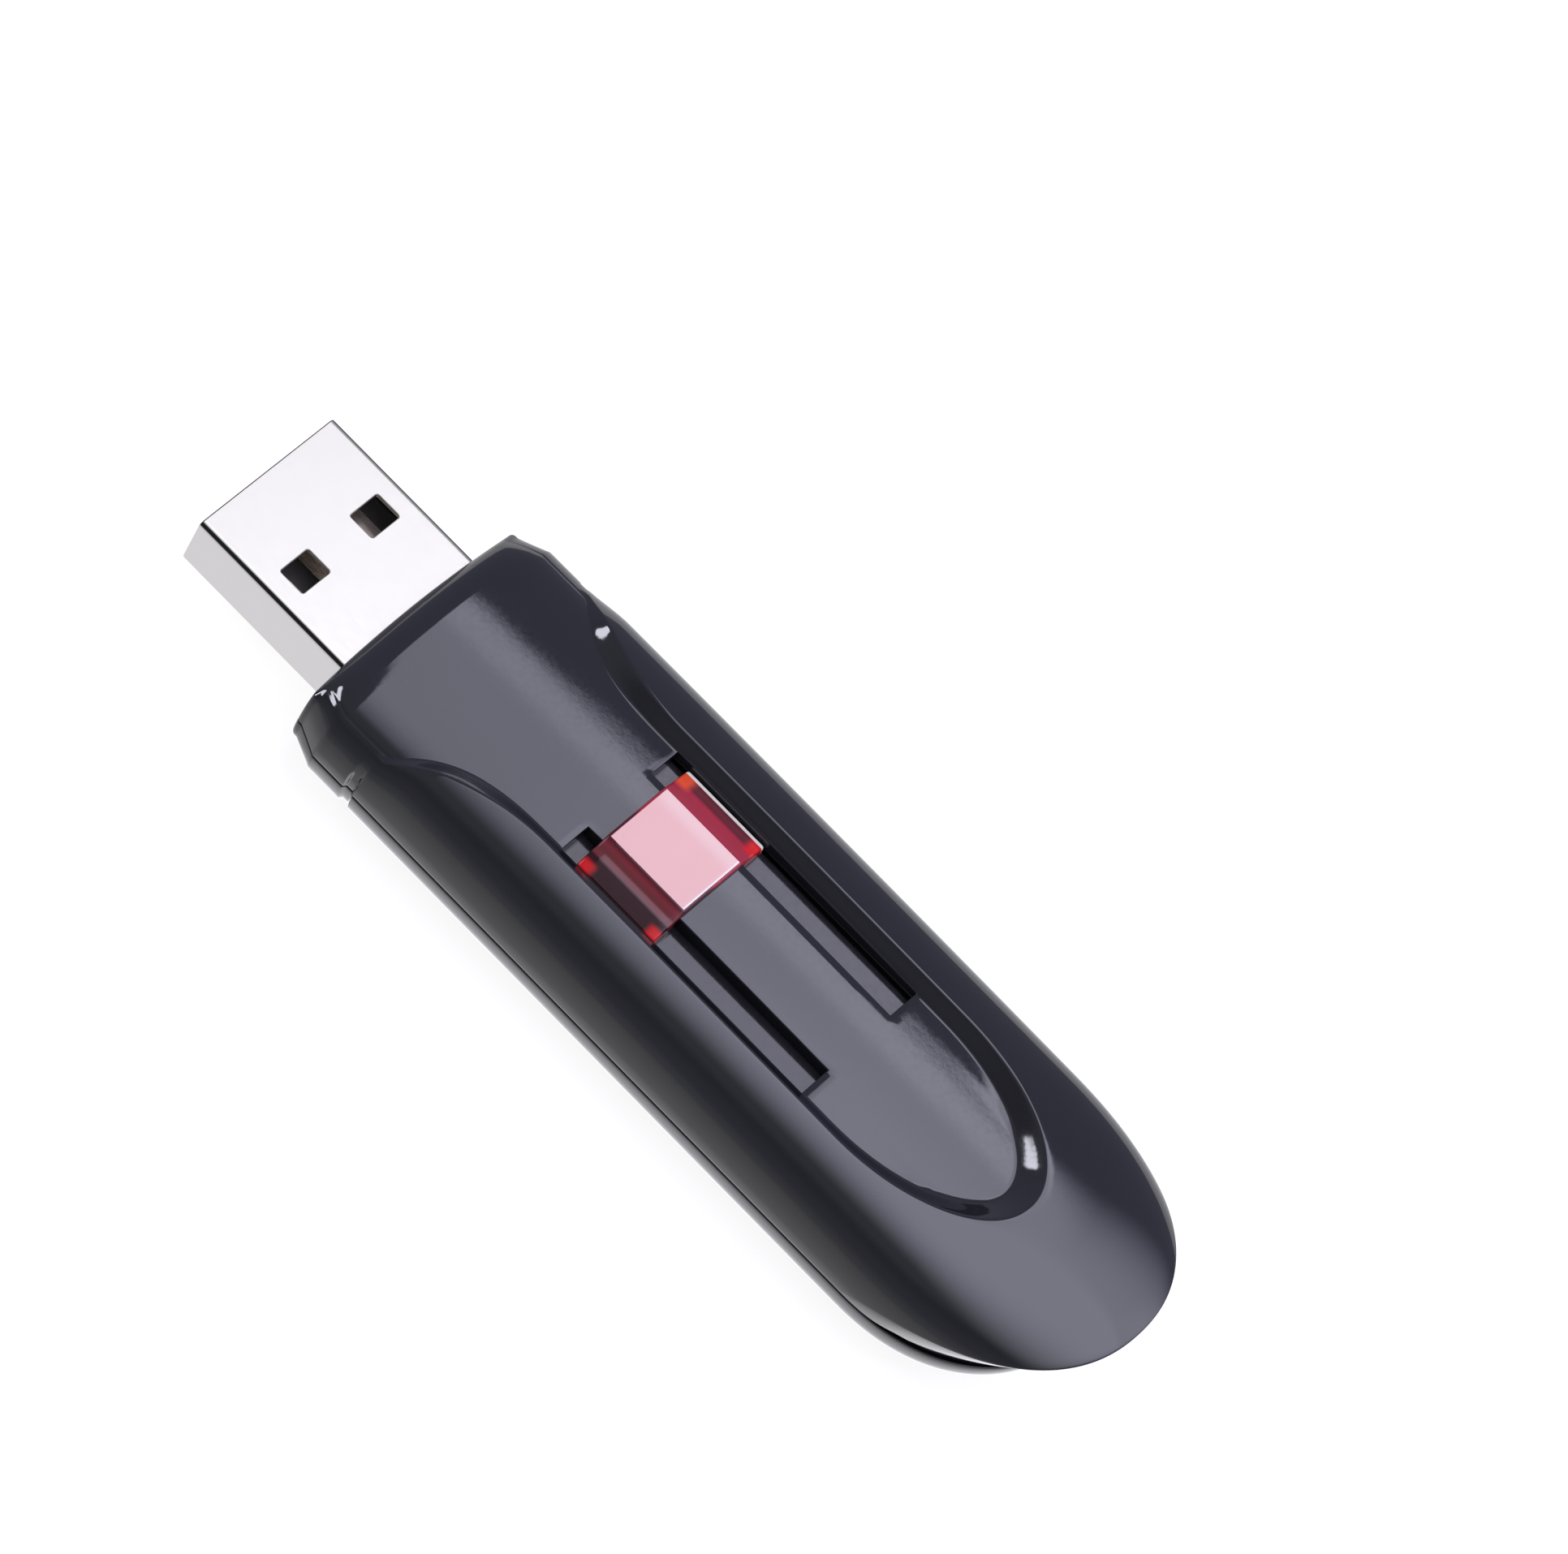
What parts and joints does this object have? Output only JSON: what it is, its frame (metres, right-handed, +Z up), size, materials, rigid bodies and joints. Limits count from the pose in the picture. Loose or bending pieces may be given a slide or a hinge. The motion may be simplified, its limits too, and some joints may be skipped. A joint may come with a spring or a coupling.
{
  "type": "usb flash drive",
  "caption": "Pocket flash drive in a two-shell housing; a thumb slider in a recess on top slides the plug and its inner carrier out of the nose and back in.",
  "frame": {"origin": "on the surface the drive lies on, below the middle of its length with the plug slid out", "axes": "+X along the drive towards the plug, +Y across it, +Z up through the slider"},
  "size_m": [0.0742, 0.0208, 0.0097],
  "materials": {
    "housing": "gloss black",
    "slider": "clear red, polished",
    "plug_steel": "bright nickel plate",
    "insulator": "black, moulded",
    "contact_gold": "gold plate",
    "carrier": "satin black",
    "board": "green solder mask",
    "chip": "black epoxy",
    "can": "plated lid",
    "lamp": "clear resin",
    "capacitor": "tan ceramic",
    "resistor": "dark ceramic"
  },
  "bodies": {
    "housing": {"top_shell": "housing", "bottom_shell": "housing"},
    "sled": {"slider_button": "slider", "plug_shell": "plug_steel", "plug_insulator": "insulator", "contact_vbus": "contact_gold", "contact_data_minus": "contact_gold", "contact_data_plus": "contact_gold", "contact_ground": "contact_gold", "sled_base": "carrier", "sled_cover": "carrier", "circuit_board": "board", "flash_memory_chip": "chip", "controller_chip": "chip", "voltage_regulator": "chip", "crystal_can": "can", "activity_led": "lamp", "capacitor_input": "capacitor", "capacitor_core": "capacitor", "capacitor_flash_a": "capacitor", "capacitor_flash_b": "capacitor", "resistor_data_plus": "resistor", "resistor_data_minus": "resistor", "resistor_led": "resistor", "ferrite_bead": "resistor"}
  },
  "joints": [
    {"name": "plug_slide", "type": "slide", "parent": "housing", "child": "sled", "axis": [-1, 0, 0], "range_m": [0, 0.0122]}
  ]
}
